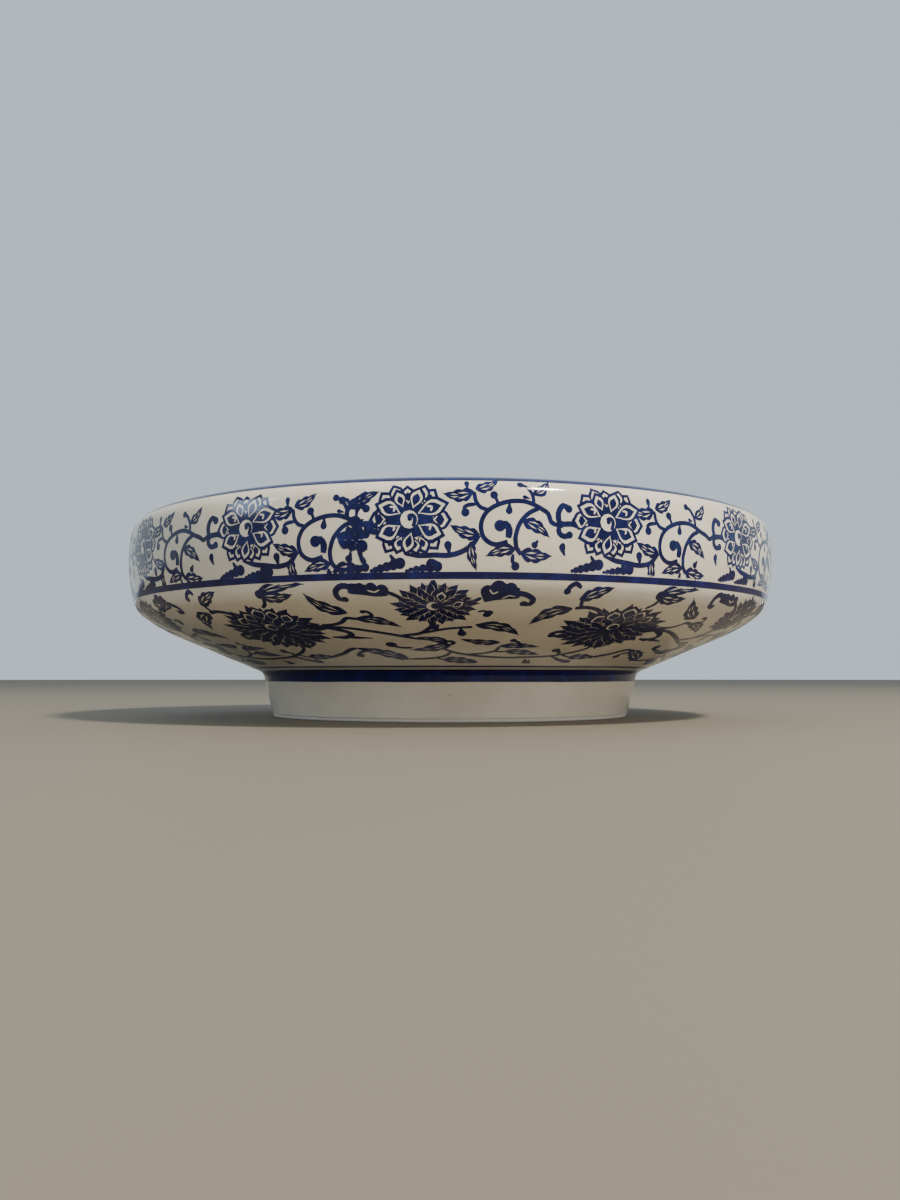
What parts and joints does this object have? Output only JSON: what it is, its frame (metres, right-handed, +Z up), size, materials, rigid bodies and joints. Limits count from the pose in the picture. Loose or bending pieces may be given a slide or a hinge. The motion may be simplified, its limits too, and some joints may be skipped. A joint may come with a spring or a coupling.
{
  "type": "porcelain serving bowl",
  "caption": "Low round porcelain serving bowl on a tall foot, with upright sides and blue lotus scroll printed round the band and lower body.",
  "frame": {"origin": "centre of the foot's resting edge, on the surface the bowl stands on", "axes": "+Z up along the axis the bowl was thrown on; the bowl is round, so +X and +Y are free, and -Y faces the viewer"},
  "size_m": [0.26, 0.26, 0.0764],
  "materials": {
    "biscuit": "matt, fine grain",
    "slip": "matt",
    "clear_glaze": "gloss",
    "cobalt_line": "gloss",
    "cobalt_print": "gloss, uneven tone"
  },
  "bodies": {
    "root": {"porcelain_bowl": "biscuit", "foot_ring": "biscuit", "luting_slip": "slip", "outer_glaze": "clear_glaze", "inner_glaze": "clear_glaze", "foot_well_glaze": "clear_glaze", "lip_line": "cobalt_line", "shoulder_line": "cobalt_line", "foot_band": "cobalt_line", "foot_band_line": "cobalt_line", "floor_ring": "cobalt_line", "rim_band_transfer": "cobalt_print", "lower_body_transfer": "cobalt_print", "centre_medallion": "cobalt_print"}
  },
  "joints": []
}
